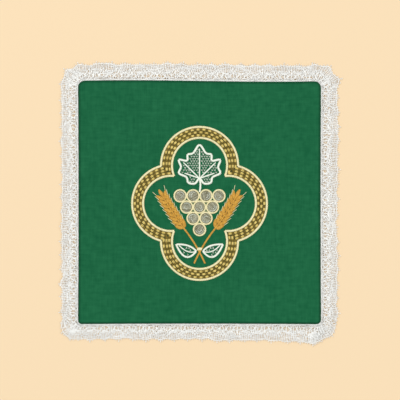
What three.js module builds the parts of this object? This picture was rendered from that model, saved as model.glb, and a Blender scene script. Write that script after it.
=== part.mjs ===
// A chalice pall lying face up on a flat surface: a stiffened square of cloth with a scalloped lace edging
// sewn round its rim. Millimetres, +Z up, +Y towards the top of the design, origin at the bottom centre of
// the whole object's box.
import * as THREE from "three";

// The stiffened square. Its sides are not quite square to each other, and each corner is rounded
// differently. The lace is eased round the corners: tips and valleys are what that adds to its width there,
// as far as reach from the corner, and the two upper corners have a scallop of their own. The list runs
// anticlockwise, seen from above.
const CORNERS = [
  {
    name: "bottom_left",
    x: -80.0,
    y: -80.1,
    radius: 2.3,
    tips: 1.6,
    valleys: 1.8,
    reach: 3.2,
    scallops: 0,
  },
  {
    name: "bottom_right",
    x: 80.0,
    y: -80.2,
    radius: 2.9,
    tips: -0.6,
    valleys: -0.6,
    reach: 5,
    scallops: 0,
  },
  {
    name: "top_right",
    x: 80.0,
    y: 79.8,
    radius: 4.2,
    tips: 3.4,
    valleys: 0.8,
    reach: 6,
    scallops: 1,
  },
  {
    name: "top_left",
    x: -80.0,
    y: 80.2,
    radius: 4.1,
    tips: 3.6,
    valleys: 0.7,
    reach: 3.8,
    scallops: 1,
  },
];

// The side that leaves each corner. It bows a little, as a cubic curve whose handles stand firstBow and
// secondBow outside the straight line. extraAtStart and extraAtEnd are added to the lace's width. The first
// of its scallops' tips lies firstTip past the side's start, and the last one lastTip past its end.
const SIDES = [
  {
    name: "bottom",
    firstBow: -0.45,
    secondBow: -0.45,
    extraAtStart: -1.2,
    extraAtEnd: 0.5,
    scallops: 18,
    firstTip: -3.6,
    lastTip: -1.4,
  },
  {
    name: "right",
    firstBow: -0.4,
    secondBow: -0.4,
    extraAtStart: -0.2,
    extraAtEnd: 0.2,
    scallops: 18,
    firstTip: -5.6,
    lastTip: 2.8,
  },
  {
    name: "top",
    firstBow: -1.3,
    secondBow: 1.4,
    extraAtStart: -0.3,
    extraAtEnd: -0.1,
    scallops: 17,
    firstTip: 0.8,
    lastTip: 2.2,
  },
  {
    name: "left",
    firstBow: -0.4,
    secondBow: -0.4,
    extraAtStart: 0.0,
    extraAtEnd: 0.0,
    scallops: 18,
    firstTip: -1.4,
    lastTip: 3.8,
  },
];

const PANEL_THICKNESS = 3.0;
const ROLLED_EDGE = 1.1;
const ROLLED_EDGE_STEPS = 4;

// The lace edging: one strip whose straight heading follows the panel's rim. Its two ends are lapped and
// sewn together near the end of the bottom side, where they stand out further.
const LACE_THICKNESS = 1.0;
const SEAM_GAP = 0.3;
const WIDTH_AT_VALLEY = 10.3;
const WIDTH_AT_TIP = 11.9;
const SCALLOP_ROUNDNESS = 1.5;
const LAPPED_ENDS = { side: 0, beforeEnd: 3, reach: 5.5, fullness: 1.2 };

// Fineness of the facets.
const STEPS_PER_SIDE = 24;
const STEPS_PER_CORNER = 8;
const STEPS_PER_SCALLOP = 6;

const GREEN_CLOTH = { color: 0x1f6642, roughness: 0.85, metalness: 0 };
const WHITE_COTTON = { color: 0xe3e3de, roughness: 0.9, metalness: 0 };

const { lerp } = THREE.MathUtils;

const next = (index) => (index + 1) % CORNERS.length;

const previous = (index) => (index + CORNERS.length - 1) % CORNERS.length;

const cornerPoint = (index) => new THREE.Vector2(CORNERS[index].x, CORNERS[index].y);

const towards = (from, to) => to.clone().sub(from).normalize();

// A direction turned a quarter clockwise: the way out, for a walk that runs anticlockwise.
const outwardOf = (direction) => new THREE.Vector2(direction.y, -direction.x);

// Where a corner's round stretch starts and ends, the centre that it turns about, and how far it turns.
function cornerArc(index) {
  const { radius } = CORNERS[index];
  const corner = cornerPoint(index);
  const arriving = towards(cornerPoint(previous(index)), corner);
  const leaving = towards(corner, cornerPoint(next(index)));
  const turn = Math.acos(arriving.dot(leaving));
  const setback = radius * Math.tan(turn / 2);
  const start = corner.clone().addScaledVector(arriving, -setback);
  const end = corner.clone().addScaledVector(leaving, setback);
  const centre = start.clone().addScaledVector(outwardOf(arriving), -radius);
  return { centre, end, radius, start, startAngle: outwardOf(arriving).angle(), turn };
}

const ARCS = CORNERS.map((_, index) => cornerArc(index));

function sideCurve(index) {
  const from = ARCS[index].end;
  const to = ARCS[next(index)].start;
  const outward = outwardOf(towards(from, to));
  const handle = (share, bow) => from.clone().lerp(to, share).addScaledVector(outward, bow);
  const { firstBow, secondBow } = SIDES[index];
  return new THREE.CubicBezierCurve(from, handle(1 / 3, firstBow), handle(2 / 3, secondBow), to);
}

// The panel's rim as a walk of stations, round each corner and then along the side that leaves it. A
// station is a point on the rim, the way out from it, and what is added to the lace's width there.
function rimStations() {
  const stations = [];
  CORNERS.forEach((_, index) => {
    const { centre, radius, startAngle, turn } = ARCS[index];
    const before = SIDES[previous(index)];
    const after = SIDES[index];
    for (let step = 0; step < STEPS_PER_CORNER; step++) {
      const share = step / STEPS_PER_CORNER;
      const angle = startAngle + turn * share;
      const outward = new THREE.Vector2(Math.cos(angle), Math.sin(angle));
      const point = centre.clone().addScaledVector(outward, radius);
      stations.push({ point, outward, extra: lerp(before.extraAtEnd, after.extraAtStart, share) });
    }
    const side = sideCurve(index);
    for (let step = 0; step < STEPS_PER_SIDE; step++) {
      const share = step / STEPS_PER_SIDE;
      const outward = outwardOf(side.getTangent(share));
      const extra = lerp(after.extraAtStart, after.extraAtEnd, share);
      stations.push({ point: side.getPoint(share), outward, extra });
    }
  });
  return stations;
}

// The stations with each one's distance along the middle of the lace. The last one is the first again.
function measured(stations) {
  const middle = ({ point, outward }) => point.clone().addScaledVector(outward, WIDTH_AT_VALLEY / 2);
  const closed = [...stations, stations[0]];
  let distance = 0;
  return closed.map((station, index) => {
    if (index > 0) distance += middle(station).distanceTo(middle(closed[index - 1]));
    return { ...station, distance };
  });
}

const RIM = rimStations();
const RAIL = measured(RIM);
const RAIL_LENGTH = RAIL[RAIL.length - 1].distance;

const STATIONS_PER_SIDE = STEPS_PER_CORNER + STEPS_PER_SIDE;
const sideStart = (index) => RAIL[index * STATIONS_PER_SIDE + STEPS_PER_CORNER].distance;
const sideEnd = (index) => RAIL[(index + 1) * STATIONS_PER_SIDE].distance;

// The station at any distance along the middle of the lace.
function railAt(distance) {
  const wrapped = THREE.MathUtils.euclideanModulo(distance, RAIL_LENGTH);
  const after = RAIL.findIndex((station) => station.distance > wrapped);
  const [low, high] = [RAIL[after - 1], RAIL[after]];
  const share = (wrapped - low.distance) / (high.distance - low.distance);
  return {
    distance: wrapped,
    point: low.point.clone().lerp(high.point, share),
    outward: low.outward.clone().lerp(high.outward, share).normalize(),
    extra: lerp(low.extra, high.extra, share),
  };
}

// From 1 at no distance down to 0 at the reach and past it.
const fading = (away, reach) => (away < reach ? Math.cos((away / reach) * (Math.PI / 2)) : 0);

// What eased corners and the lapped ends add to the lace's width. rise is 0 at a valley and 1 at a tip.
function fullness({ point, distance }, rise) {
  let added = 0;
  CORNERS.forEach(({ tips, valleys, reach }, index) => {
    const away = point.distanceTo(cornerPoint(index));
    added += lerp(valleys, tips, rise) * fading(away, reach);
  });
  const lap = sideEnd(LAPPED_ENDS.side) - LAPPED_ENDS.beforeEnd;
  return added + LAPPED_ENDS.fullness * fading(Math.abs(distance - lap), LAPPED_ENDS.reach);
}

// The distance of each scallop's tip along the middle of the lace, side by side, each side followed by the
// scallops of the corner that it ends in.
function tipDistances() {
  const spread = (from, to, count) =>
    Array.from({ length: count }, (_, step) => lerp(from, to, step / (count - 1)));
  const rows = SIDES.map(({ firstTip, lastTip, scallops }, index) =>
    spread(sideStart(index) + firstTip, sideEnd(index) + lastTip, scallops),
  );
  return rows.flatMap((row, index) => {
    const last = row[row.length - 1];
    const lapsRound = index === rows.length - 1 ? RAIL_LENGTH : 0;
    const nextFirst = rows[next(index)][0] + lapsRound;
    const between = spread(last, nextFirst, CORNERS[next(index)].scallops + 2).slice(1, -1);
    return [...row, ...between];
  });
}

// The lace's outer edge, from each tip through a valley to the next tip.
function scallopedEdge() {
  const tips = tipDistances();
  const points = [];
  tips.forEach((tip, index) => {
    const nextTip = tips[index + 1] ?? tips[0] + RAIL_LENGTH;
    for (let step = 0; step < STEPS_PER_SCALLOP; step++) {
      const share = step / STEPS_PER_SCALLOP;
      const station = railAt(lerp(tip, nextTip, share));
      const rise = Math.abs(2 * share - 1) ** SCALLOP_ROUNDNESS;
      const scallop = lerp(WIDTH_AT_VALLEY, WIDTH_AT_TIP, rise);
      const width = scallop + station.extra + fullness(station, rise);
      points.push(station.point.clone().addScaledVector(station.outward, width));
    }
  });
  return points;
}

const SCALLOPED_EDGE = scallopedEdge();
const CENTRE = new THREE.Box2().setFromPoints(SCALLOPED_EDGE).getCenter(new THREE.Vector2());

// A closed outline, moved so that the whole object's box is centred on the origin.
const outline = (points) => new THREE.Shape(points.map((point) => point.clone().sub(CENTRE)));

// The stiffened square: flat, with its edge rolled over all round.
function facePanel() {
  const geometry = new THREE.ExtrudeGeometry(outline(RIM.map(({ point }) => point)), {
    depth: PANEL_THICKNESS - 2 * ROLLED_EDGE,
    bevelEnabled: true,
    bevelThickness: ROLLED_EDGE,
    bevelSize: ROLLED_EDGE,
    bevelOffset: -ROLLED_EDGE,
    bevelSegments: ROLLED_EDGE_STEPS,
  });
  const mesh = new THREE.Mesh(geometry, new THREE.MeshStandardMaterial(GREEN_CLOTH));
  mesh.name = "face_panel";
  mesh.position.z = ROLLED_EDGE;
  return mesh;
}

// The lace edging: a thin flat strip from just outside the panel's rim to the scallops.
function laceEdging() {
  const heading = RIM.map(({ point, outward }) => point.clone().addScaledVector(outward, SEAM_GAP));
  const shape = outline(SCALLOPED_EDGE);
  shape.holes.push(outline(heading));
  const geometry = new THREE.ExtrudeGeometry(shape, { depth: LACE_THICKNESS, bevelEnabled: false });
  const mesh = new THREE.Mesh(geometry, new THREE.MeshStandardMaterial(WHITE_COTTON));
  mesh.name = "lace_edging";
  return mesh;
}

const pall = new THREE.Group();
pall.add(facePanel(), laceEdging());

export default pall;
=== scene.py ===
# %% [markdown]
# # A chalice pall with embroidery and a lace edging
#
# A pall is a stiff square of cloth that lies over a chalice. This one is green, with thread worked into its
# face and a strip of white cotton lace sewn round its rim. The engineering model already holds its true
# size: a flat panel and a flat scalloped strip. This lesson builds what the eye sees in their place, the
# cloth, the lace thread by thread and the embroidery stitch by stitch, all in metres and in that model's
# own frame.

# %% Tools, and the engineering model
import math
import random

import bmesh
import bpy
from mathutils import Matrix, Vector, geometry, noise


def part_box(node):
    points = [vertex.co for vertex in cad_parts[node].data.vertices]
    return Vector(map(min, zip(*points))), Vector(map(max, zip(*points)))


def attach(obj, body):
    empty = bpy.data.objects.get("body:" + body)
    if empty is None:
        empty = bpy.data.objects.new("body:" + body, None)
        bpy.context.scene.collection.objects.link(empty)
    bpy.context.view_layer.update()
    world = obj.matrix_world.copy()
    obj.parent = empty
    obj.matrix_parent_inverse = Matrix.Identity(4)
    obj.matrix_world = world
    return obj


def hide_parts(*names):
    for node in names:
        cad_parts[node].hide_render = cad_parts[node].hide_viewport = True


MM = 0.001

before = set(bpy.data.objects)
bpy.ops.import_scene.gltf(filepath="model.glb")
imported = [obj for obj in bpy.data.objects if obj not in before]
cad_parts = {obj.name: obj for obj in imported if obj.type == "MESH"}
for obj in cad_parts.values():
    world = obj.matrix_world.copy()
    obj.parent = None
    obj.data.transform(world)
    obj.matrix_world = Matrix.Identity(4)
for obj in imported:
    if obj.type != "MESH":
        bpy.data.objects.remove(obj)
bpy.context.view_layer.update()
panel_low, panel_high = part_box("face_panel")
lace_low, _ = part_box("lace_edging")
panel_centre = (panel_low + panel_high) / 2


def new_object(name, data):
    """An object with this data, linked to the scene."""
    thing = bpy.data.objects.new(name, data)
    bpy.context.scene.collection.objects.link(thing)
    return thing


def set_inputs(node, values):
    for name, value in values.items():
        node.inputs[name].default_value = value


print("panel", [round(side / MM, 1) for side in panel_high - panel_low], "mm")

# %% [markdown]
# ## The camera
#
# The pall is seen from straight above. How far away follows from the width that the picture takes in. The
# panel isn't quite in the middle of the picture, so the camera stands a little off its centre.

# %% Camera
PICTURE_WIDTH = 263.3 * MM
LENS = 100.0
SENSOR = 36.0
AIM_RIGHT = 0.3 * MM
AIM_UP = 1.45 * MM

camera_data = bpy.data.cameras.new("camera")
camera_data.lens = LENS
camera_data.sensor_width = SENSOR
camera = new_object("camera", camera_data)
bpy.context.scene.camera = camera
camera_height = PICTURE_WIDTH * LENS / SENSOR
camera.location = (panel_centre.x + AIM_RIGHT, panel_centre.y + AIM_UP, panel_high.z + camera_height)
print("camera", round(camera_height, 3), "m above the face")

# %% [markdown]
# ## Floor and light
#
# The floor is plain and pale peach. The light is soft and comes from all round, with a little more from one
# side so that raised thread shows its form. The plain Standard view keeps colours as they are set.

# %% Floor
FLOOR_SIZE = 3.0
FLOOR_DROP = 0.05 * MM
PEACH = (0.813, 0.635, 0.417)

floor_shape = bmesh.new()
bmesh.ops.create_grid(floor_shape, x_segments=1, y_segments=1, size=FLOOR_SIZE / 2)
floor_mesh = bpy.data.meshes.new("floor")
floor_shape.to_mesh(floor_mesh)
floor_shape.free()
floor = new_object("floor", floor_mesh)
floor.location.z = -FLOOR_DROP

peach_paper = bpy.data.materials.new("peach_paper")
peach_paper.use_nodes = True
paper_shader = peach_paper.node_tree.nodes["Principled BSDF"]
set_inputs(paper_shader, {"Base Color": (*PEACH, 1), "Roughness": 0.9, "Specular IOR Level": 0.0})
floor_mesh.materials.append(peach_paper)

# %% Light
SKY_STRENGTH = 0.68
LAMPS = [
    {"name": "key", "from": (-1.2, 1.4, 2.2), "size": 1.6, "watts": 38.0},
    {"name": "fill", "from": (1.6, -1.0, 1.9), "size": 2.0, "watts": 20.0},
]

world = bpy.data.worlds.new("studio")
bpy.context.scene.world = world
world.use_nodes = True
set_inputs(world.node_tree.nodes["Background"], {"Color": (1, 1, 1, 1), "Strength": SKY_STRENGTH})

for lamp in LAMPS:
    light = bpy.data.lights.new(lamp["name"], "AREA")
    light.shape = "DISK"
    light.size = lamp["size"]
    light.energy = lamp["watts"]
    light_object = new_object(lamp["name"], light)
    light_object.location = lamp["from"]
    aim = Vector(lamp["from"]) - panel_centre
    light_object.rotation_euler = aim.to_track_quat("Z", "Y").to_euler()

bpy.context.scene.view_settings.view_transform = "Standard"
print("lamps", len(LAMPS))

# %% [markdown]
# ## The rims that everything follows
#
# The cloth's rim and the lace's two edges are settled in the engineering model, with their slight bows, four
# different corners and every scallop. They are read from it: where an upright wall of a solid meets one
# level, its edges form a closed outline.


# %% Reading an outline at one level
WELD = 0.001 * MM
LEVEL_ERROR = 0.01 * MM
LEAST_SLOPE = 0.1


def level_outlines(node_name, level):
    """The outlines where a node's upright walls meet one level, anticlockwise, the longest first."""
    solid = bmesh.new()
    solid.from_mesh(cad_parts[node_name].data)
    bmesh.ops.remove_doubles(solid, verts=solid.verts, dist=WELD)
    solid.normal_update()
    neighbours = {}
    for edge in solid.edges:
        on_level = all(abs(vert.co.z - level) < LEVEL_ERROR for vert in edge.verts)
        if on_level and any(abs(face.normal.z) < LEAST_SLOPE for face in edge.link_faces):
            first, second = edge.verts
            neighbours.setdefault(first, []).append(second)
            neighbours.setdefault(second, []).append(first)
    outlines = []
    while neighbours:
        here = next(iter(neighbours))
        outline = []
        while here is not None:
            outline.append(here.co.copy())
            beside = neighbours.pop(here)
            here = next((vert for vert in beside if vert in neighbours), None)
        outlines.append(outline)
    solid.free()
    return sorted((anticlockwise(outline) for outline in outlines), key=perimeter, reverse=True)


def following(points):
    """Each point of a closed outline with the one after it."""
    return zip(points, points[1:] + points[:1])


def perimeter(points):
    return sum((after - before).length for before, after in following(points))


def anticlockwise(points):
    turning = sum(before.x * after.y - before.y * after.x for before, after in following(points))
    return points if turning > 0 else points[::-1]


ROLL = 1.1 * MM

panel_rim = level_outlines("face_panel", panel_low.z + ROLL)[0]
scallops_edge, heading_edge = level_outlines("lace_edging", lace_low.z)
print("rim", len(panel_rim), "scalloped edge", len(scallops_edge), "heading", len(heading_edge))

# %% [markdown]
# ## The green cloth
#
# On the real pall the cloth is drawn tight over stiff card and turned under at the rim, so it is one smooth
# closed skin with a soft rolled edge. The rim becomes one face, which is raised and then inset in small
# steps to roll the edge over. The face is cut into a fine grid, and its points move up and down by a few
# hundredths of a millimetre, because glued cloth is never quite flat.

# %% How high the face stands
WAVE_HEIGHT = 0.09 * MM
WAVE_LENGTH = 38 * MM
RIPPLE_HEIGHT = 0.03 * MM
RIPPLE_LENGTH = 11 * MM
CALM_RIM = 8 * MM


def face_height(x, y):
    """The height of the cloth's face above the surface that the pall lies on."""
    wave = noise.noise(Vector((x / WAVE_LENGTH, y / WAVE_LENGTH, 3.7)))
    ripple = noise.noise(Vector((x / RIPPLE_LENGTH, y / RIPPLE_LENGTH, 8.1)))
    rim_distance = min(x - panel_low.x, panel_high.x - x, y - panel_low.y, panel_high.y - y)
    calm = min(max((rim_distance - ROLL) / CALM_RIM, 0), 1)
    return panel_high.z + calm * (wave * WAVE_HEIGHT + ripple * RIPPLE_HEIGHT - WAVE_HEIGHT / 2)


# %% The cloth's shape
ROLL_STEPS = 7
# Width of the band of painted shade just inside the roll.
PAINTED_SHADE_RIM = 0.7 * MM
GRID = 2.5 * MM
EVENLY = {"use_even_offset": True, "use_boundary": True}


def roll_edge(shape, face):
    """Rounds the rim of a flat face over, along its own way out, by insets that follow a quarter circle.
    Marks the roll and a band just inside it for painted shade.
    """
    inset_before = 0
    rise_before = 0
    for step in range(1, ROLL_STEPS + 1):
        angle = math.pi / 2 * step / ROLL_STEPS
        inset = ROLL * (1 - math.cos(angle))
        rise = ROLL * math.sin(angle)
        bmesh.ops.inset_region(
            shape, faces=[face], thickness=inset - inset_before, depth=rise - rise_before, **EVENLY
        )
        inset_before = inset
        rise_before = rise
    # The roll, the walls and a band just inside the rim get 1 for painted shade; the rest of the face gets
    # 0.
    painted_edge_shade = shape.verts.layers.float["painted_edge_shade"]
    for vert in shape.verts:
        vert[painted_edge_shade] = 1.0
    bmesh.ops.inset_region(shape, faces=[face], thickness=PAINTED_SHADE_RIM, **EVENLY)
    for vert in face.verts:
        vert[painted_edge_shade] = 0.0


def cut_grid(shape, level):
    """Cuts the flat face at one level into squares."""
    for across in (Vector((1, 0, 0)), Vector((0, 1, 0))):
        low, high = panel_low.dot(across), panel_high.dot(across)
        for step in range(1, int((high - low) / GRID)):
            faces = [face for face in shape.faces if face.calc_center_median().z > level]
            edges = dict.fromkeys(edge for face in faces for edge in face.edges)
            verts = dict.fromkeys(vert for face in faces for vert in face.verts)
            bmesh.ops.bisect_plane(
                shape,
                geom=[*faces, *edges, *verts],
                dist=WELD,
                plane_co=across * (low + step * GRID),
                plane_no=across,
            )


cloth_shape = bmesh.new()
cloth_shape.verts.layers.float.new("painted_edge_shade")
rim_verts = [cloth_shape.verts.new(point) for point in panel_rim]
rim_face = cloth_shape.faces.new(rim_verts)
raised = bmesh.ops.extrude_face_region(cloth_shape, geom=[rim_face])["geom"]
raised_verts = [part for part in raised if isinstance(part, bmesh.types.BMVert)]
straight_height = panel_high.z - panel_low.z - 2 * ROLL
bmesh.ops.translate(cloth_shape, verts=raised_verts, vec=(0, 0, straight_height))
bmesh.ops.recalc_face_normals(cloth_shape, faces=cloth_shape.faces)
for flat_face in [face for face in cloth_shape.faces if len(face.verts) > 4]:
    roll_edge(cloth_shape, flat_face)
just_below_face = panel_high.z - LEVEL_ERROR
cut_grid(cloth_shape, just_below_face)
for vert in cloth_shape.verts:
    if vert.co.z > just_below_face:
        vert.co.z = face_height(vert.co.x, vert.co.y)

cloth_mesh = bpy.data.meshes.new("green_cloth")
cloth_shape.to_mesh(cloth_mesh)
print("green cloth", len(cloth_shape.faces), "faces")
cloth_shape.free()
cloth_mesh.shade_smooth()
green_cloth = new_object("green_cloth", cloth_mesh)
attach(green_cloth, "root")
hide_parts("face_panel")

# %% [markdown]
# ### Its weave
#
# The cloth is a close plain weave: threads run both ways and pass over each other in turn, like a
# chessboard. Two sine waves say which way's thread lies on top, and the rounded back of that thread gives
# the bump. The same back makes the colour lighter on the crown of each thread and darker in the gaps
# between threads: painted shade. Real yarn is uneven, so streaks along both ways change the green a little.
# The turned edge is darkened with painted shade: the mesh carries that as a number at each point.


# %% Small helpers for materials
def new_material(name):
    """A material with its shader, and its node tree."""
    material = bpy.data.materials.new(name)
    material.use_nodes = True
    return material, material.node_tree, material.node_tree.nodes["Principled BSDF"]


def maths(tree, operation, first, second=None):
    """A maths node on numbers or on other nodes' results."""
    node = tree.nodes.new("ShaderNodeMath")
    node.operation = operation
    for socket, value in zip(node.inputs, (first, second)):
        if isinstance(value, (int, float)):
            socket.default_value = value
        elif value is not None:
            tree.links.new(value, socket)
    return node.outputs[0]


def streaks(tree, coordinates, stretch, detail):
    """Noise that is drawn out along an axis: stretch is its scale along X, Y and Z."""
    mapping = tree.nodes.new("ShaderNodeMapping")
    set_inputs(mapping, {"Scale": stretch})
    tree.links.new(coordinates, mapping.inputs["Vector"])
    texture = tree.nodes.new("ShaderNodeTexNoise")
    set_inputs(texture, {"Scale": 1.0, "Detail": detail})
    tree.links.new(mapping.outputs["Vector"], texture.inputs["Vector"])
    return texture.outputs["Fac"]


def ramp(tree, factor, low, high):
    """A colour that goes from low to high with a factor from 0 to 1."""
    node = tree.nodes.new("ShaderNodeMix")
    node.data_type = "RGBA"
    set_inputs(node, {"A": (*low, 1), "B": (*high, 1)})
    tree.links.new(factor, node.inputs["Factor"])
    return node.outputs["Result"]


def bump(tree, shader, height, depth, strength):
    """Bump of a given depth in metres, from a height between 0 and 1."""
    node = tree.nodes.new("ShaderNodeBump")
    set_inputs(node, {"Distance": depth, "Strength": strength})
    tree.links.new(height, node.inputs["Height"])
    tree.links.new(node.outputs["Normal"], shader.inputs["Normal"])


# %% The weave's material
THREAD_PITCH = 0.42 * MM
GREEN_DARK = (0.0004, 0.070, 0.0255)
GREEN_LIGHT = (0.0172, 0.150, 0.0615)
# Painted shade on the turned edge: its colour is multiplied by this.
EDGE_SHADE = 0.64
CROSSOVER = 0.25
YARN_RELIEF = 0.05 * MM

# Each part of the yarn's unevenness: its scale along X, Y and Z, its detail, and how much it counts.
YARN = [
    ((1500, 70, 1), 1.0, 0.3),
    ((70, 1500, 1), 1.0, 0.3),
    ((380, 150, 1), 1.0, 0.45),
    ((150, 380, 1), 1.0, 0.45),
    ((40, 40, 1), 2.0, 0.25),
]
# How much the thread's back lightens its crown and darkens the gaps between threads, as painted shade.
THREAD_GAP_SHADE = 0.2
MEAN_BACK = 0.64


def weave_material(name):
    material, tree, shader = new_material(name)
    place = tree.nodes.new("ShaderNodeTexCoord").outputs["Object"]
    split = tree.nodes.new("ShaderNodeSeparateXYZ")
    tree.links.new(place, split.inputs[0])
    waves = []
    for axis in ("X", "Y"):
        turns = maths(tree, "MULTIPLY", split.outputs[axis], math.pi / THREAD_PITCH)
        waves.append(maths(tree, "SINE", turns))
    backs = [maths(tree, "ABSOLUTE", wave) for wave in waves]
    product = maths(tree, "MULTIPLY", waves[0], waves[1])
    warp_on_top = tree.nodes.new("ShaderNodeMapRange")
    set_inputs(warp_on_top, {"From Min": -CROSSOVER, "From Max": CROSSOVER})
    tree.links.new(product, warp_on_top.inputs["Value"])
    mixed = tree.nodes.new("ShaderNodeMix")
    tree.links.new(warp_on_top.outputs["Result"], mixed.inputs["Factor"])
    tree.links.new(backs[1], mixed.inputs["A"])
    tree.links.new(backs[0], mixed.inputs["B"])
    back = mixed.outputs["Result"]
    even = 0.5 - THREAD_GAP_SHADE * MEAN_BACK - sum(weight for _, _, weight in YARN) / 2
    # Painted shade: the colour is darker in the gaps between threads and lighter on their crowns.
    tone = maths(tree, "ADD", maths(tree, "MULTIPLY", back, THREAD_GAP_SHADE), even)
    for stretch, detail, weight in YARN:
        part = streaks(tree, place, stretch, detail)
        tone = maths(tree, "ADD", tone, maths(tree, "MULTIPLY", part, weight))
    colour = ramp(tree, tone, GREEN_DARK, GREEN_LIGHT)
    # Painted shade: the turned edge and a band inside it are darkened by EDGE_SHADE.
    painted_edge_shade = tree.nodes.new("ShaderNodeAttribute")
    painted_edge_shade.attribute_name = "painted_edge_shade"
    shaded = tree.nodes.new("ShaderNodeMix")
    shaded.data_type = "RGBA"
    shaded.blend_type = "MULTIPLY"
    set_inputs(shaded, {"B": (EDGE_SHADE, EDGE_SHADE, EDGE_SHADE, 1)})
    tree.links.new(painted_edge_shade.outputs["Fac"], shaded.inputs["Factor"])
    tree.links.new(colour, shaded.inputs["A"])
    tree.links.new(shaded.outputs["Result"], shader.inputs["Base Color"])
    bump(tree, shader, back, YARN_RELIEF, 0.4)
    set_inputs(shader, {"Roughness": 0.85, "Specular IOR Level": 0.08})
    set_inputs(shader, {"Sheen Weight": 0.02, "Sheen Roughness": 0.5})
    return material


cloth_mesh.materials.append(weave_material("green_plain_weave"))
print("weave of", round(1 / (THREAD_PITCH / MM) * 10), "threads a centimetre")

# %% [markdown]
# ## Thread
#
# Both the lace and the embroidery are thread, so both are made the same way: each thread is the list of
# points that it passes through, and Blender's curve bevel gives it a round section with closed ends. The
# bevel makes each end as a separate little face, and lists all of those first and from the last thread
# back, so they are welded on afterwards. Every thread keeps a number of its own, from 0 to 1, so that the
# material can give each one a slightly different tone.


# %% From lists of points to one mesh of thread
def spin(name, threads, thickness, fineness=0):
    """A mesh of round threads. Each thread is its points, and its thickness as a share of the usual."""
    curve = bpy.data.curves.new(name, "CURVE")
    curve.dimensions = "3D"
    curve.bevel_depth = thickness / 2
    curve.bevel_resolution = fineness
    curve.use_fill_caps = True
    for points, share in threads:
        spline = curve.splines.new("POLY")
        spline.points.add(len(points) - 1)
        spline.points.foreach_set("co", [value for point in points for value in (*point, 1)])
        spline.points.foreach_set("radius", [share] * len(points))
    holder = new_object(name, curve)
    bpy.context.view_layer.update()
    graph = bpy.context.evaluated_depsgraph_get()
    mesh = bpy.data.meshes.new_from_object(holder.evaluated_get(graph))
    bpy.data.objects.remove(holder)
    bpy.data.curves.remove(curve)
    mesh.shade_smooth()

    sides = 4 + 2 * fineness
    dice = random.Random(name)
    tones = [dice.random() for _ in threads]
    point_tones = []
    for tone in reversed(tones):
        point_tones.extend([tone] * (2 * sides))
    for tone, (points, _) in zip(tones, threads):
        point_tones.extend([tone] * (len(points) * sides))
    mesh.attributes.new("tone", "FLOAT", "POINT").data.foreach_set("value", point_tones)

    welded = bmesh.new()
    welded.from_mesh(mesh)
    bmesh.ops.remove_doubles(welded, verts=welded.verts, dist=0.0001 * MM)
    welded.to_mesh(mesh)
    welded.free()

    piece = new_object(name, mesh)
    mesh.name = name
    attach(piece, "root")
    mesh.calc_loop_triangles()
    print(name, len(threads), "threads", len(mesh.loop_triangles), "triangles")
    return piece


# %% What thread is made of
FIBRES = 1800
PATCHES = 420
OWN_TONE = 0.6


def thread_material(name, dark, light, roughness, metallic=0.0, sheen=0.1, uneven=0.0):
    """Thread whose tone differs from one length to the next, with fine fibres along its surface.

    uneven adds patches of a few millimetres, some darker and some lighter.
    """
    material, tree, shader = new_material(name)
    tone = tree.nodes.new("ShaderNodeAttribute")
    tone.attribute_name = "tone"
    place = tree.nodes.new("ShaderNodeTexCoord").outputs["Object"]
    fibres = streaks(tree, place, (FIBRES, FIBRES, FIBRES), 2.0)
    own = maths(tree, "MULTIPLY", tone.outputs["Fac"], OWN_TONE)
    mixed = maths(tree, "ADD", own, maths(tree, "MULTIPLY", fibres, 1 - OWN_TONE))
    if uneven:
        patches = streaks(tree, place, (PATCHES, PATCHES, PATCHES), 2.0)
        swing = maths(tree, "MULTIPLY", maths(tree, "SUBTRACT", patches, 0.5), uneven)
        mixed = maths(tree, "ADD", mixed, swing)
    tree.links.new(ramp(tree, mixed, dark, light), shader.inputs["Base Color"])
    bump(tree, shader, fibres, YARN_RELIEF, 0.5)
    set_inputs(shader, {"Roughness": roughness, "Metallic": metallic})
    set_inputs(shader, {"Specular IOR Level": 0.3, "Sheen Weight": sheen})
    return material


# %% [markdown]
# ## The lace
#
# The edging is bobbin lace of the torchon kind. Next to the cloth it has a dense straight footing. Then
# comes an open ground of spiders, and then a row of fans, where one thread weaves to and fro across spread
# threads. Small loops, called picots, finish the outer edge. A picture on a flat strip would have no holes
# and no edge, so here every thread is real.
#
# The strip is planned flat: `along` counts fans, and `across` is the distance from the heading. Then each
# point is carried to its place round the rim, between the heading and the scallop tips of the engineering
# model. Round the corners that gathers the heading and spreads the fans, as easing a real strip does.

# %% The strip's place round the rim
STATIONS_PER_FAN = 6
SOLID_VALLEY = 10.0
SOLID_TIP = 11.6
ROUNDNESS = 1.5


def nearest_on(path, point):
    """The nearest point of a path."""
    best = None
    for before, after in zip(path, path[1:]):
        _, share = geometry.intersect_point_line(point, before, after)
        spot = before.lerp(after, min(max(share, 0), 1))
        if best is None or (spot - point).length < (best - point).length:
            best = spot
    return best


def scalloped(offset, valley, tip):
    """The width of a scalloped strip, at an offset in fans from the nearest tip."""
    return valley + (tip - valley) * (1 - min(abs(offset) * 2, 1)) ** ROUNDNESS


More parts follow.
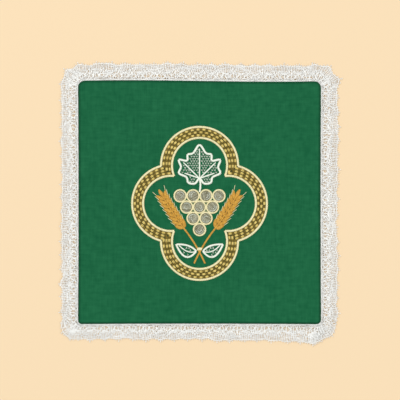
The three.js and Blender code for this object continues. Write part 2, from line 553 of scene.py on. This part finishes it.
headings = [nearest_on([*heading_edge, heading_edge[0]], point) for point in scallops_edge]
widths = [(edge - heading).length for edge, heading in zip(scallops_edge, headings)]
ways_out = [(edge - heading).normalized() for edge, heading in zip(scallops_edge, headings)]
first_tip = max(range(STATIONS_PER_FAN), key=lambda phase: sum(widths[phase::STATIONS_PER_FAN]))
FANS = len(scallops_edge) // STATIONS_PER_FAN
lapped_corner = Vector((panel_high.x, lace_low.y, 0))
lap_station = min(
    range(first_tip, len(scallops_edge), STATIONS_PER_FAN),
    key=lambda station: (scallops_edge[station] - lapped_corner).length,
)
stretches = []
for station, width in enumerate(widths):
    offset = ((station - first_tip) / STATIONS_PER_FAN + 0.5) % 1 - 0.5
    stretches.append(width / (scalloped(offset, SOLID_VALLEY, SOLID_TIP) * MM))
print(FANS, "fans, stretched from", round(min(stretches), 2), "to", round(max(stretches), 2))


def between(values, position):
    """A value between the two nearest entries of a closed list."""
    low = math.floor(position)
    first = values[low % len(values)]
    second = values[(low + 1) % len(values)]
    return first + (second - first) * (position - low)


# %% [markdown]
# Real lace isn't laid perfectly, so each point drifts a little from its planned place: the edge sways, the
# strip wanders, it quivers most near the heading, and single threads wander too. Each of these is seeded
# noise, with its rate along the strip and across it. Where the strip's ends lap, the upper one lies higher.

# %% How the strip drifts and how high it lies
FAN_PITCH = 9.6
SWAY = {"per_fan": 0.8, "per_mm": 0.0, "from": Vector((0, 2.9, 6.1)), "along": 2.4, "across": 1.0}
WANDER = {"per_fan": 1.7, "per_mm": 0.3, "from": Vector((0, 0, 1.3)), "most": 0.7}
QUIVER = {"per_fan": 4.6, "per_mm": 0.7, "from": Vector((0, 0, 7.7)), "most": 1.0}
THREAD_WANDER = {"per_fan": 12, "per_mm": 1.7, "from": Vector((0, 0, 9.3)), "most": 0.12}
STILL_AT_EDGE = 0.75
LEAST_DRIFT = 0.1
COCKLE = 0.3
LAP_LIFT = 0.5
LEVEL_AT_HEADING = 1.6
LEVEL_AT_EDGE = 0.5
LEAST_LEVEL = 0.17
SLOPE = 4.0
DRIFT_SEED = 1

noise.seed_set(DRIFT_SEED)


def clamped(value, low=0, high=1):
    return min(max(value, low), high)


def drifting(part, along, across):
    """One part of the drift, as it is at a point of the strip."""
    spot = Vector((along * part["per_fan"], across * part["per_mm"], 0))
    return noise.noise_vector(spot + part["from"])


def lace_level(across):
    """How high the lace lies: it comes down from the turned edge of the cloth to the surface."""
    share = clamped(across / SLOPE)
    return LEVEL_AT_HEADING + (LEVEL_AT_EDGE - LEVEL_AT_HEADING) * share * (2 - share)


def on_lace(along, across, lift):
    """Carries a point of the flat strip, in fans and millimetres, to its place round the rim, in metres."""
    sway = drifting(SWAY, along, across) * (across / SOLID_TIP)
    drift = Vector((sway.x * SWAY["along"], sway.y * SWAY["across"], 0))
    drift += drifting(WANDER, along, across) * WANDER["most"]
    quiver = QUIVER["most"] * (1 - STILL_AT_EDGE * clamped(across / SOLID_TIP))
    drift += drifting(QUIVER, along, across) * quiver
    drift += drifting(THREAD_WANDER, along, across) * THREAD_WANDER["most"]
    drift *= clamped(across, LEAST_DRIFT)
    station = lap_station + (along + drift.x / FAN_PITCH) * STATIONS_PER_FAN
    heading = between(headings, station)
    way_out = between(ways_out, station).normalized()
    place = heading + way_out * ((across + drift.y) * MM * between(stretches, station))
    wave = noise.noise(Vector((along * 0.8, across * 0.12, 5.0))) * COCKLE * across / SOLID_TIP
    lapping = clamped((along - FANS + 0.1) * 3) * LAP_LIFT
    height = lace_level(across) + lift + wave + lapping
    return Vector((place.x, place.y, max(height, LEAST_LEVEL) * MM))


# %% The footing: straight threads, and one that weaves across them
FOOT_LINES = (0.0, 0.42, 0.85)
FOOT_STEPS = 4
HEADING_SHARE = 1.5
FOOT_SHARE = 1.15
FOOT_TURNS = 8
FOOT_IN = -0.12
FOOT_OUT = 1.15


def footing(fan):
    """The footing's threads along one fan."""
    threads = []
    for line_number, across in enumerate(FOOT_LINES):
        points = []
        for step in range(FOOT_STEPS + 1):
            points.append(on_lace(fan + step / FOOT_STEPS, across, 0.08 * (-1) ** (step + line_number)))
        threads.append((points, HEADING_SHARE if line_number == 0 else FOOT_SHARE))
    weaver = []
    for turn in range(2 * FOOT_TURNS + 1):
        across = FOOT_IN if turn % 2 else FOOT_OUT
        weaver.append(on_lace(fan + turn / (2 * FOOT_TURNS), across, 0.15))
    threads.append((weaver, 1.0))
    return threads


# %% The fans: where they lie in the strip
APEX = 4.2
JOINED = 7.6
VALLEY = 10.05
FAN_TIP = 10.9
FAN_SPREAD = 0.6
FAN_WIDTH = 0.46


def fan_edge(offset):
    """How far out a fan reaches, at an offset from its middle between -0.5 and 0.5."""
    return scalloped(offset, VALLEY, FAN_TIP)


def fan_half_width(across):
    """Half the width of a fan, in fans. It widens quickly at first, and not at all from JOINED on."""
    return FAN_WIDTH * clamped((across - APEX) / (JOINED - APEX)) ** FAN_SPREAD


def in_fan(along, across):
    """Whether a point of the strip lies inside a fan or beyond where they meet."""
    return across > JOINED or abs(along - round(along)) < fan_half_width(across)


# %% [markdown]
# In the ground two spiders stand in each repeat. A spider's legs are twisted pairs that come slanting from
# the footing, cross in its body and slant on to the fans, and a thread circles in the body. A straight
# pair runs down between every two spiders, and loose gimps cross them all. What is left open is a ring of
# small holes round each body.

# %% The ground: spiders and the pairs between them
SPIDERS = (0.25, 0.75)
LEGS = (-0.2, -0.075, 0.075, 0.2)
GROUND_START = 1.0
BODY = 2.9
BODY_RADIUS = 0.5
BODY_TURNS = 1.6
BODY_STEPS = 10
BODY_CLOSING = 0.45
LEG_STEP = 0.8
LEG_SPREAD = 0.5
PAIR_APART = 0.15
PAIR_LIFT = 0.06
PAIR_SHARE = 0.92
STRAIGHT_SHARE = 1.25
GIMPS = (2.1, 2.95, 3.75, 4.6, 5.4)
GIMP_STEPS = 12
GIMP_SWING = 0.22

# A leg's first points: how far aside of the body they are, as a share of the leg's place, and how far out.
LEG_START = ((1, GROUND_START), (0.62, 1.75), (0.25, 2.45), (-0.25, 3.35))


def twisted(route, level, share=PAIR_SHARE):
    """A pair of threads that twist round each other along a route of points in the flat strip."""
    pair = []
    for side in (-1, 1):
        points = []
        for number, (along, across) in enumerate(route):
            apart = PAIR_APART * side * (-1) ** number
            lift = level + PAIR_LIFT * side * (-1) ** number
            points.append(on_lace(along + apart / FAN_PITCH, across + apart * 0.4, lift))
        pair.append((points, share))
    return pair


def spider(centre):
    """The legs and the body of one spider."""
    threads = []
    for number, leg in enumerate(LEGS):
        route = [(centre + leg * share, across) for share, across in LEG_START]
        while not in_fan(*route[-1]):
            along, across = route[-1]
            route.append((along - leg * LEG_SPREAD * LEG_STEP, across + LEG_STEP))
        threads += twisted(route, 0.07 * (-1) ** number)
    circle = []
    for step in range(BODY_STEPS + 1):
        angle = 2 * math.pi * BODY_TURNS * step / BODY_STEPS
        radius = BODY_RADIUS * (1 - BODY_CLOSING * step / BODY_STEPS)
        along = centre + radius * math.cos(angle) / FAN_PITCH
        circle.append(on_lace(along, BODY + radius * math.sin(angle), 0.2))
    threads.append((circle, 1.1))
    return threads


def straight_pair(along):
    """The pair that runs straight out between two spiders, as far as a fan."""
    route = [(along, GROUND_START)]
    while not in_fan(*route[-1]):
        route.append((along, route[-1][1] + LEG_STEP))
    return twisted(route, 0.0, STRAIGHT_SHARE)


def ground(fan):
    """The rest of the ground of one repeat: the straight pairs and the gimps that cross them."""
    threads = straight_pair(fan) + straight_pair(fan + 0.5)
    for across in GIMPS:
        gimp = []
        for step in range(GIMP_STEPS + 1):
            gimp.append(on_lace(fan + step / GIMP_STEPS, across + GIMP_SWING * (-1) ** step, -0.1))
        threads.append((gimp, 0.9))
    return threads


# %% The fans: spread threads, and the one that weaves across them
SPOKES = 7
SPOKE_STEPS = 5
SPOKE_START = 0.02
ROWS = 9
FIRST_ROW = 0.1
LAST_ROW = 0.98
TURN_PAST_SPOKE = 1.02


def fan_point(fan, spread, share, lift):
    """A point of a fan: spread from -1 to 1 across it, share from 0 at its apex to 1 at its edge."""
    across = APEX + (fan_edge(0.5 * spread) - APEX) * share
    return on_lace(fan + spread * fan_half_width(across), across, lift)


def fan_threads(fan):
    threads = []
    spreads = [2 * spoke / (SPOKES - 1) - 1 for spoke in range(SPOKES)]
    for number, spread in enumerate(spreads):
        points = []
        for step in range(SPOKE_STEPS + 1):
            share = SPOKE_START + (1 - SPOKE_START) * step / SPOKE_STEPS
            points.append(fan_point(fan, spread, share, 0.1 * (-1) ** (step + number)))
        threads.append((points, 1.1))
    weaver = []
    for row in range(ROWS):
        share = FIRST_ROW + (LAST_ROW - FIRST_ROW) * row / (ROWS - 1)
        order = spreads if row % 2 else spreads[::-1]
        for number, spread in enumerate(order):
            lift = 0.05 + 0.13 * (-1) ** (row + number)
            weaver.append(fan_point(fan, spread * TURN_PAST_SPOKE, share, lift))
    threads.append((weaver, 1.15))
    return threads


# %% All the lace's threads
LACE_THREAD = 0.4 * MM

lace_threads = []
spider_threads = []
for fan in range(FANS + 1):
    lace_threads += footing(fan) + ground(fan) + fan_threads(fan)
    for centre in SPIDERS:
        spider_threads += spider(fan + centre)

lace = spin("lace", lace_threads, LACE_THREAD)
lace_spiders = spin("lace_spiders", spider_threads, LACE_THREAD)

# %% [markdown]
# The outer edge of each fan is a thicker twisted pair, and along it the thread is thrown into picots: the
# largest stands on the tip of the fan and makes the edge look toothed.

# %% The edge and its picots
EDGE_STEPS = 12

# Each picot of a fan: its offset from the tip and its width, in fans, and its height in millimetres.
PICOTS = [
    (-0.5, 0.08, 0.8),
    (-0.34, 0.09, 0.95),
    (-0.17, 0.09, 1.15),
    (0.0, 0.09, 1.7),
    (0.17, 0.09, 1.15),
    (0.34, 0.09, 0.95),
]
LOOP_STEPS = 6
LOOP_PINCH = 0.3
PICOT_SHARE = 0.75
EDGE_TWIST = 0.13
EDGE_SHARE = 0.95


def picot(fan, offset, wide, tall):
    """One loop of thread that stands out from the edge."""
    points = []
    for step in range(LOOP_STEPS + 1):
        angle = math.pi * step / LOOP_STEPS
        aside = offset - wide / 2 * math.cos(angle) * (1.0 - LOOP_PINCH * math.sin(angle))
        points.append(on_lace(fan + aside, fan_edge(offset) + tall * math.sin(angle), 0.0))
    return points, PICOT_SHARE


def edge_pair(fan):
    pair = []
    for side in (-1, 1):
        points = []
        for step in range(EDGE_STEPS + 1):
            offset = step / EDGE_STEPS - 0.5
            twist = EDGE_TWIST * side * (-1) ** step
            points.append(on_lace(fan + offset, fan_edge(offset) + twist, 0.05 * side))
        pair.append((points, EDGE_SHARE))
    return pair


edge_threads = []
for fan in range(FANS + 1):
    edge_threads += edge_pair(fan)
    edge_threads += [picot(fan, *loop) for loop in PICOTS]

lace_picots = spin("lace_picots", edge_threads, LACE_THREAD)

# %% [markdown]
# Small stitches from its footing into the turned edge of the cloth hold the lace. From above the roll of
# the edge hides most of each.

# %% The sewing
STITCHES_PER_FAN = 3
SEWING_THREAD = 0.25 * MM

# A stitch's points: how far along the strip in fans, how far across it and how much higher.
SEWING_STITCH = ((0.03, 0.9, 0.1), (0.02, 0.4, 0.4), (-0.02, -0.1, 0.35), (-0.03, -0.5, 0.1))

sewing_threads = []
for number in range(FANS * STITCHES_PER_FAN):
    along = number / STITCHES_PER_FAN
    points = [on_lace(along + ahead, across, lift) for ahead, across, lift in SEWING_STITCH]
    sewing_threads.append((points, 1.0))

lace_sewing = spin("lace_sewing", sewing_threads, SEWING_THREAD)

# %% The lace's cotton
COTTON_DARK = (0.83, 0.83, 0.80)
COTTON_LIGHT = (0.94, 0.94, 0.91)
UNEVEN_WHITE = 1.6

white_cotton = thread_material(
    "white_cotton", COTTON_DARK, COTTON_LIGHT, roughness=0.85, sheen=0.15, uneven=UNEVEN_WHITE
)
for piece in (lace, lace_spiders, lace_picots, lace_sewing):
    piece.data.materials.append(white_cotton)
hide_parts("lace_edging")

# %% [markdown]
# ## The embroidery
#
# The design is a four-lobed frame of gold basket stitch with a vine leaf, a bunch of grapes, ears of wheat
# and two small leaves in it. Each motif is planned as an embroiderer would: where its outline runs, and
# which way its stitches lie. A stitch comes up through the cloth, arches over and goes down again, so five
# points are enough for one.

# %% Stitches
DESIGN_DOWN = 0.8 * MM
design_centre = Vector((panel_centre.x, panel_centre.y - DESIGN_DOWN))
SINK = 0.12
SHOULDER = 0.22
SHOULDER_RISE = 0.8
SLANT = 0.35


def on_face(x, y, rise):
    """A point of the design, in millimetres from its middle and above the cloth, in metres."""
    place_x = design_centre.x + x * MM
    place_y = design_centre.y + y * MM
    return Vector((place_x, place_y, face_height(place_x, place_y) + rise * MM))


def direction(angle):
    return Vector((math.cos(angle), math.sin(angle)))


def left_of(way):
    return Vector((-way.y, way.x))


def stitch(start, end, rise, base=0.0):
    """One stitch from start to end that arches up to rise, over work that is base thick."""
    return [
        on_face(*start, -SINK),
        on_face(*start.lerp(end, SHOULDER), base + rise * SHOULDER_RISE),
        on_face(*start.lerp(end, 0.5), base + rise),
        on_face(*start.lerp(end, 1 - SHOULDER), base + rise * SHOULDER_RISE),
        on_face(*end, -SINK),
    ]


def paced(path, pitch):
    """Points at an even pitch along a path, each with the way that the path runs there."""
    lengths = [(after - before).length for before, after in zip(path, path[1:])]
    total = sum(lengths)
    count = max(round(total / pitch), 2)
    spots = []
    leg = 0
    passed = 0.0
    for number in range(count):
        distance = total * (number + 0.5) / count
        while leg < len(lengths) - 1 and passed + lengths[leg] < distance:
            passed += lengths[leg]
            leg += 1
        before, after = path[leg], path[leg + 1]
        share = (distance - passed) / lengths[leg]
        spots.append((before.lerp(after, share), (after - before).normalized()))
    return spots


def satin_cord(path, width, pitch, rise, taper=0.0, base=0.0):
    """A line of close slanted stitches across a path. With a taper its ends are narrower."""
    threads = []
    spots = paced(path, pitch)
    for number, (spot, way) in enumerate(spots):
        share = (number + 0.5) / len(spots)
        narrow = 1 - taper * abs(2 * share - 1) ** 3
        half = left_of(way) * (width / 2 * narrow) + way * (SLANT * width / 2)
        threads.append((stitch(spot + half, spot - half, rise * narrow, base), 1.0))
    return threads


# %% [markdown]
# ### The frame of four lobes
#
# Four circles overlap, and the band follows the outside of them all. A row of the band ends where its
# circle meets its neighbour's, so every corner is mitred. Basket stitch fills the band: little square
# blocks of parallel thread, one along the band and the next across it. The blocks across the band are the
# gold thread painted darker, as painted shade. Laid thread painted dark as shade shows between the blocks,
# and a cream cord of satin stitch closes each side.

# %% The frame's lobes
LOBES = [
    {"centre": Vector((19.0, 0.0)), "facing": 0.0},
    {"centre": Vector((0.0, 25.0)), "facing": math.pi / 2},
    {"centre": Vector((-19.0, 0.0)), "facing": math.pi},
    {"centre": Vector((0.0, -25.0)), "facing": -math.pi / 2},
]
FRAME_OUTER = 26.0
FRAME_INNER = 17.5
FRAME_CORD = 1.35


def lobe_reach(lobe, radius):
    """How far a lobe's circle turns to each side before it meets its neighbours' circles."""
    neighbour = next(other for other in LOBES if other["centre"].dot(lobe["centre"]) == 0)
    apart = neighbour["centre"] - lobe["centre"]
    half_angle = math.acos(apart.length / 2 / radius)
    return abs(apart.angle(direction(lobe["facing"]))) - half_angle


def lobe_point(lobe, radius, turn):
    return lobe["centre"] + direction(lobe["facing"] + turn) * radius


def lobe_arc(lobe, radius, steps=60):
    reach = lobe_reach(lobe, radius)
    return [lobe_point(lobe, radius, reach * (2 * step / steps - 1)) for step in range(steps + 1)]


# %% Basket stitch
BLOCK = 1.9
BLOCK_ROWS = 3
BLOCK_THREADS = 3
ALONG_THE_BAND = {"half": 0.62, "spread": 0.72, "rise": 0.62}
ACROSS_THE_BAND = {"half": 0.5, "spread": 0.9, "rise": 0.34}
GOLD_THREAD = 0.46 * MM
LAID_LINES = 10
LAID_THREAD = 0.5 * MM
fill_inner = FRAME_INNER + FRAME_CORD
fill_outer = FRAME_OUTER - FRAME_CORD
middle_radius = (fill_inner + fill_outer) / 2


def basket_block(lobe, radius, turn, lengthwise):
    """One block of the basket stitch, as parallel stitches along the band or across it."""
    threads = []
    middle = lobe_point(lobe, radius, turn)
    outward = (middle - lobe["centre"]).normalized()
    onward = left_of(outward)
    run, side = (onward, outward) if lengthwise else (outward, onward)
    block = ALONG_THE_BAND if lengthwise else ACROSS_THE_BAND
    for number in range(BLOCK_THREADS):
        aside = side * (BLOCK * block["spread"] * ((number + 0.5) / BLOCK_THREADS - 0.5))
        half = run * (BLOCK * block["half"])
        threads.append((stitch(middle + aside - half, middle + aside + half, block["rise"]), 1.0))
    return threads


gold_threads = []
shaded_gold_threads = []
laid_threads = []
for lobe in LOBES:
    columns = round(2 * lobe_reach(lobe, middle_radius) * middle_radius / BLOCK)
    for row in range(BLOCK_ROWS):
        radius = fill_inner + (fill_outer - fill_inner) * (row + 0.5) / BLOCK_ROWS
        reach = lobe_reach(lobe, radius)
        for column in range(columns):
            turn = reach * (2 * (column + 0.5) / columns - 1)
            lengthwise = (row + column) % 2 == 0
            block = basket_block(lobe, radius, turn, lengthwise)
            # Blocks across the band go to a copy of the gold thread painted darker, as painted shade.
            (gold_threads if lengthwise else shaded_gold_threads).extend(block)
    for line in range(LAID_LINES):
        radius = fill_inner + (fill_outer - fill_inner) * (line + 0.5) / LAID_LINES
        laid = [on_face(*point, 0.1) for point in lobe_arc(lobe, radius, 40)]
        laid_threads.append((laid, 1.0))

gold_frame = spin("gold_basket_stitch", gold_threads, GOLD_THREAD, 1)
shaded_gold_frame = spin("bronze_basket_stitch", shaded_gold_threads, GOLD_THREAD, 1)

# %% The cream cords of the frame
CORD_THREAD = 0.4 * MM
CORD_PITCH = 0.36

cream_threads = []
for lobe in LOBES:
    for radius in (FRAME_INNER + FRAME_CORD / 2, FRAME_OUTER - FRAME_CORD / 2):
        cream_threads += satin_cord(lobe_arc(lobe, radius), FRAME_CORD, CORD_PITCH, 0.62)
print(len(cream_threads), "cream stitches so far")

# %% [markdown]
# ### The grapes
#
# Each grape is a round of silver thread in a cream outline. The stitches of each lie at their own angle and
# catch the light differently. Laid thread below them is painted dark, as shade in the gaps, and two curls
# on top are glints.

# %% Grapes
GRAPE_PITCH = 8.5
GRAPE_RADIUS = 4.4
GRAPE_ROWS = 4
TOP_ROW = 5.0
ROW_DROP = 7.4
GRAPE_CORD = 0.95
GRAPE_FILL = GRAPE_RADIUS - 0.4
UNDERLAY = {"pitch": 0.5, "rise": 0.2}
SILVER_FILL = {"pitch": 0.62, "rise": 0.5, "base": 0.1}
GLINTS = (0.3, 0.58)
GLINT_TURN = 2.4
GLINT_RISE = 0.75
SILVER_THREAD = 0.38 * MM


def circle_path(centre, radius, start=0.0, end=2 * math.pi, steps=24):
    angles = [start + (end - start) * step / steps for step in range(steps + 1)]
    return [centre + direction(angle) * radius for angle in angles]


def chords(centre, radius, angle, pitch, rise, base=0.0):
    """Parallel stitches that fill a round, highest at its middle."""
    threads = []
    run = direction(angle)
    count = int(2 * radius / pitch)
    for number in range(count):
        aside = radius * (2 * (number + 0.5) / count - 1)
        half = math.sqrt(radius**2 - aside**2)
        dome = math.sqrt(1 - (aside / radius) ** 2)
        start = centre + left_of(run) * aside - run * half
        end = centre + left_of(run) * aside + run * half
        threads.append((stitch(start, end, rise * dome, base), 1.0))
    return threads


silver_threads = []
glint_threads = []
grape_dice = random.Random("grapes")
for row in range(GRAPE_ROWS):
    count = GRAPE_ROWS - row
    for number in range(count):
        centre = Vector(((number - (count - 1) / 2) * GRAPE_PITCH, TOP_ROW - row * ROW_DROP))
        angle = grape_dice.uniform(0, math.pi)
        laid_threads += chords(centre, GRAPE_FILL, angle + math.pi / 2, **UNDERLAY)
        silver_threads += chords(centre, GRAPE_FILL, angle, **SILVER_FILL)
        outline = circle_path(centre, GRAPE_RADIUS - GRAPE_CORD / 2)
        cream_threads += satin_cord(outline, GRAPE_CORD, CORD_PITCH, 0.6)
        for reach in GLINTS:
            turn = grape_dice.uniform(0, 2 * math.pi)
            curl = circle_path(centre, GRAPE_RADIUS * reach, turn, turn + GLINT_TURN, 8)
            glint_threads.append(([on_face(*point, GLINT_RISE) for point in curl], 1.0))

silver_grapes = spin("silver_grapes", silver_threads, SILVER_THREAD, 1)

# %% [markdown]
# ### The wheat
#
# An ear is a stalk with pairs of grains along a bent line and one grain at its end. A grain is a drop of
# satin stitches across its length. Fine straight stitches, the awns, run out past the grains.

# %% Ears of wheat
GRAIN_LENGTH = 5.6
GRAIN_WIDTH = 2.5
GRAIN_LEAN = math.radians(30)
GRAIN_SKEW = 0.45
GRAIN_STEP = 3.3
GRAIN_ASIDE = 0.7
END_GRAIN_BACK = 1.4
AMBER_PITCH = 0.42
AMBER_THREAD = 0.44 * MM
AWN = 4.0
AWN_INSIDE = 0.6
AWN_LEAN = 0.6


def bend_path(start, handle, end, steps=40):
    """A smooth bend from start to end, drawn towards a handle."""
    shares = [step / steps for step in range(steps + 1)]
    return [start.lerp(handle, share).lerp(handle.lerp(end, share), share) for share in shares]


def turned(way, angle):
    cos, sin = math.cos(angle), math.sin(angle)
    return Vector((way.x * cos - way.y * sin, way.x * sin + way.y * cos))


def grain(root, way):
    """One grain of satin stitches, from its root."""
    threads = []
    count = round(GRAIN_LENGTH / AMBER_PITCH)
    for number in range(count):
        share = (number + 0.5) / count
        swell = math.sin(math.pi * share**0.8) ** 0.7
        half = left_of(way) * (GRAIN_WIDTH / 2 * swell) + way * GRAIN_SKEW * swell
        spot = root + way * (GRAIN_LENGTH * share)
        threads.append((stitch(spot - half, spot + half, 0.2 + 0.4 * swell), 1.0))
    return threads


def ear(path):
    """The grains and awns along a path, from the foot of the ear to its tip."""
    grains = []
    awns = []
    *pairs, (end, end_way) = paced(path, GRAIN_STEP)
    for spot, way in pairs:
        for side in (-1, 1):
            lean = turned(way, side * GRAIN_LEAN)
            aside = left_of(way) * side * GRAIN_ASIDE
            grains += grain(spot + aside, lean)
            tip = spot + aside + lean * (GRAIN_LENGTH - AWN_INSIDE)
            awn_way = turned(way, side * GRAIN_LEAN * AWN_LEAN)
            awns.append((stitch(tip, tip + awn_way * AWN, 0.3), 0.8))
    grains += grain(end - end_way * END_GRAIN_BACK, end_way)
    return grains, awns


EAR = {"foot": (9.5, -17.5), "handle": (17.0, -8.0), "tip": (25.5, 7.0)}
STALK = {"handle": (2.0, -27.0), "end": (-3.6, -39.5)}
STALK_WIDTH = 1.0
TIE = [Vector((-1.6, -30.0)), Vector((1.6, -30.0))]
TIE_WIDTH = 2.0


def mirrored(point, side):
    return Vector((side * point[0], point[1]))


amber_threads = []
for side in (1, -1):
    foot, handle, tip = (mirrored(EAR[part], side) for part in ("foot", "handle", "tip"))
    path = bend_path(foot, handle, tip)
    grains, awns = ear(path)
    amber_threads += grains
    cream_threads += awns
    stalk = bend_path(mirrored(STALK["end"], side), mirrored(STALK["handle"], side), foot, 16)
    amber_threads += satin_cord(stalk + path[1:], STALK_WIDTH, AMBER_PITCH, 0.4)

amber_wheat = spin("amber_wheat", amber_threads, AMBER_THREAD, 1)
cream_threads += satin_cord(TIE, TIE_WIDTH, CORD_PITCH, 0.45, base=0.5)

# %% [markdown]
# ### The vine leaf and the blades
#
# The leaf shows the cloth through it: a silver-white outline and veins, with short silver stitches in
# staggered rows between them. Two long blades at the feet of the wheat are worked the same way.

# %% Leaf outlines
LEAF_CENTRE = Vector((0.0, 22.5))
LEAF_HALF = [
    (0.0, -6.0),
    (3.0, -9.4),
    (7.4, -8.8),
    (8.6, -5.2),
    (13.6, -2.6),
    (12.2, 1.4),
    (13.6, 6.2),
    (8.2, 5.6),
    (7.8, 9.6),
    (4.2, 10.6),
    (0.0, 16.0),
]
LEAF_VEINS = [(0.0, 13.5), (10.6, 4.4), (-10.6, 4.4), (9.8, -2.6), (-9.8, -2.6)]
LEAF_ROOT = Vector((0.0, -6.0))


def smooth_closed(points, steps=6):
    """A closed smooth line through all of its points."""
    count = len(points)
    path = []
    for number in range(count):
        before, start, end, after = (points[(number + shift) % count] for shift in (-1, 0, 1, 2))
        for step in range(steps):
            share = step / steps
            spot = 2 * start + (end - before) * share
            spot += (2 * before - 5 * start + 4 * end - after) * share**2
            spot += (3 * start - before - 3 * end + after) * share**3
            path.append(0.5 * spot)
    return path + path[:1]


def inside(path, point):
    """Whether a point lies inside a closed path."""
    crossings = 0
    for before, after in zip(path, path[1:]):
        if (before.y > point.y) != (after.y > point.y):
            share = (point.y - before.y) / (after.y - before.y)
            crossings += before.x + (after.x - before.x) * share > point.x
    return crossings % 2 == 1


def distance_to(path, point):
    return (nearest_on(path, point) - point).length


right_half = [Vector(point) for point in LEAF_HALF]
left_half = [Vector((-x, y)) for x, y in LEAF_HALF[-2:0:-1]]
leaf_outline = [LEAF_CENTRE + point for point in smooth_closed(right_half + left_half)]
leaf_veins = [
    [LEAF_CENTRE + LEAF_ROOT, LEAF_CENTRE + LEAF_ROOT.lerp(Vector(vein), 0.5), LEAF_CENTRE + Vector(vein)]
    for vein in LEAF_VEINS
]

# %% Leaf stitches
SCALE_WIDE = 1.7
SCALE_TALL = 1.5
CLEAR_OF_OUTLINE = 1.15
CLEAR_OF_VEINS = 0.95
BLADE = {"root": (2.2, -31.5), "handle": (9.5, -41.0), "tip": (15.4, -27.0), "return": (6.0, -26.5)}


def scale_stitches(outline, veins, way):
    """Short pairs of stitches in staggered rows inside an outline, clear of its veins."""
    threads = []
    xs = [point.x for point in outline]
    ys = [point.y for point in outline]
    row = 0
    y = min(ys)
    while y < max(ys):
        x = min(xs) + (SCALE_WIDE / 2 if row % 2 else 0)
        while x < max(xs):
            spot = Vector((x, y))
            clear = inside(outline, spot) and distance_to(outline, spot) > CLEAR_OF_OUTLINE
            if clear and all(distance_to(vein, spot) > CLEAR_OF_VEINS for vein in veins):
                for lean in (1, -1):
                    start = spot + left_of(way) * lean * 0.55 + way * 0.5
                    threads.append((stitch(start, spot - way * 0.5, 0.28), 0.95))
            x += SCALE_WIDE
        y += SCALE_TALL
        row += 1
    return threads


pale_threads = satin_cord(leaf_outline, 1.3, CORD_PITCH, 0.6)
for vein in leaf_veins:
    pale_threads += satin_cord(vein, 0.8, CORD_PITCH, 0.42, taper=0.5)
leaf_stem = bend_path(LEAF_CENTRE + LEAF_ROOT, Vector((1.2, 12.5)), Vector((0.0, 7.5)), 10)
pale_threads += satin_cord(leaf_stem, 1.1, CORD_PITCH, 0.5)
scale_threads = scale_stitches(leaf_outline, leaf_veins, Vector((0, 1)))

for side in (1, -1):
    root, handle, tip, back = (mirrored(BLADE[part], side) for part in ("root", "handle", "tip", "return"))
    outline = bend_path(root, handle, tip, 20) + bend_path(tip, back, root, 20)[1:]
    rib = bend_path(root, (handle + back) / 2, root.lerp(tip, 0.85), 8)
    pale_threads += satin_cord(outline, 1.1, CORD_PITCH, 0.55)
    pale_threads += satin_cord(rib, 0.6, CORD_PITCH, 0.35)
    scale_threads += scale_stitches(outline, [rib], (tip - root).normalized())

pale_outlines = spin("pale_leaf_outlines", pale_threads, CORD_THREAD, 1)
silver_scales = spin("silver_leaf_stitches", scale_threads + glint_threads, SILVER_THREAD, 1)
cream_cords = spin("cream_cords", cream_threads, CORD_THREAD, 1)
laid_ground = spin("laid_thread", laid_threads, LAID_THREAD)

# %% [markdown]
# ### The embroidery's colours
#
# Gold and silver thread is a metallic foil round a soft core, so it is partly metallic and shiny. The cream
# and amber threads are silky. The laid thread is painted dark olive as shade, for it lies below the others.

# %% Embroidery materials
FOIL = {"roughness": 0.42, "metallic": 0.2}
FINE_FOIL = {"roughness": 0.45, "metallic": 0.1}
SILK = {"roughness": 0.5}
DULL = {"roughness": 0.7}

# Each piece of the embroidery with its slot, its darkest and its lightest tone, and its finish.
FINISHES = [
    (gold_frame, "gold_thread", (0.50, 0.36, 0.07), (0.90, 0.74, 0.25), FOIL),
    # The blocks across the band: the gold thread painted darker, as painted shade.
    (shaded_gold_frame, "gold_thread", (0.10, 0.075, 0.006), (0.32, 0.225, 0.03), FOIL),
    # The laid thread: painted shade, dark below the other threads.
    (laid_ground, "gold_thread", (0.055, 0.048, 0.003), (0.12, 0.095, 0.008), DULL),
    (cream_cords, "cream_thread", (0.76, 0.68, 0.36), (0.93, 0.87, 0.58), SILK),
    (amber_wheat, "amber_thread", (0.47, 0.23, 0.018), (0.77, 0.46, 0.075), SILK),
    (silver_grapes, "silver_thread", (0.22, 0.21, 0.12), (0.82, 0.82, 0.62), FOIL),
    (pale_outlines, "silver_thread", (0.78, 0.82, 0.70), (0.94, 0.97, 0.87), SILK),
    (silver_scales, "silver_thread", (0.42, 0.47, 0.38), (0.76, 0.80, 0.70), FINE_FOIL),
]

for piece, slot, dark, light, finish in FINISHES:
    piece.data.materials.append(thread_material(piece.name + "_thread", dark, light, **finish))
